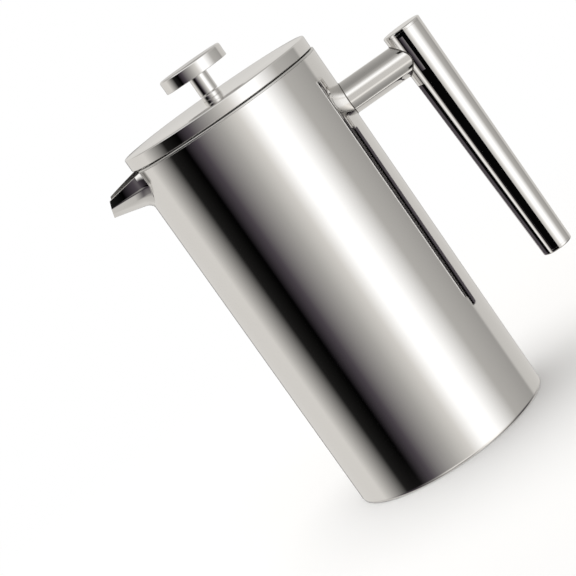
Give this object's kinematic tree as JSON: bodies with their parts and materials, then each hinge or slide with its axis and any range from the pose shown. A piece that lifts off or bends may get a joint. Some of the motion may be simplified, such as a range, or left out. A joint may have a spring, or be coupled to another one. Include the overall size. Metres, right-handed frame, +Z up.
{
  "type": "french press",
  "caption": "Double-wall polished steel press pot with a beak spout, a tapered bar handle, a lift-off lid and a plunger with a mesh filter.",
  "frame": {"origin": "centre of the flat base, on the surface that the pot stands on", "axes": "+Z up along the pot's axis, +X from the pot to the handle, -X to the spout, +Y completes a right-handed frame"},
  "size_m": [0.1753, 0.105, 0.2228],
  "materials": {
    "polished_steel": "mirror-polished stainless steel, slightly warm",
    "satin_steel": "satin stainless steel of the inside and the pressed plates",
    "wire_mesh": "woven and coiled stainless wire"
  },
  "bodies": {
    "pot": {"outer_shell": "polished_steel", "inner_beaker": "satin_steel", "base_plate": "satin_steel", "spout": "polished_steel", "handle_arm": "polished_steel", "grip_tube": "polished_steel", "grip_top_cap": "polished_steel", "grip_bottom_cap": "polished_steel"},
    "lid": {"lid_shell": "polished_steel", "lid_liner": "satin_steel", "lid_bushing": "polished_steel", "bushing_nut": "satin_steel"},
    "plunger": {"plunger_rod": "polished_steel", "clamp_nut": "satin_steel"},
    "knob": {"knob_neck": "polished_steel", "knob": "polished_steel"},
    "filter": {"filter_hub": "satin_steel", "bottom_plate": "satin_steel", "backing_screen": "wire_mesh", "fine_screen": "wire_mesh", "coil_spring": "wire_mesh", "top_plate": "satin_steel"}
  },
  "joints": [
    {"name": "lid_lift", "type": "slide", "parent": "pot", "child": "lid", "axis": [0, 0, 1], "range_m": [0, 0.2]},
    {"name": "plunger_press", "type": "slide", "parent": "lid", "child": "plunger", "axis": [0, 0, 1], "range_m": [0, 0.15]},
    {"name": "knob_turn", "type": "hinge", "parent": "plunger", "child": "knob", "pos_m": [0, 0, 0.2195], "axis": [0, 0, 1], "continuous": true},
    {"name": "filter_turn", "type": "hinge", "parent": "plunger", "child": "filter", "pos_m": [0, 0, 0.0165], "axis": [0, 0, 1], "continuous": true}
  ]
}
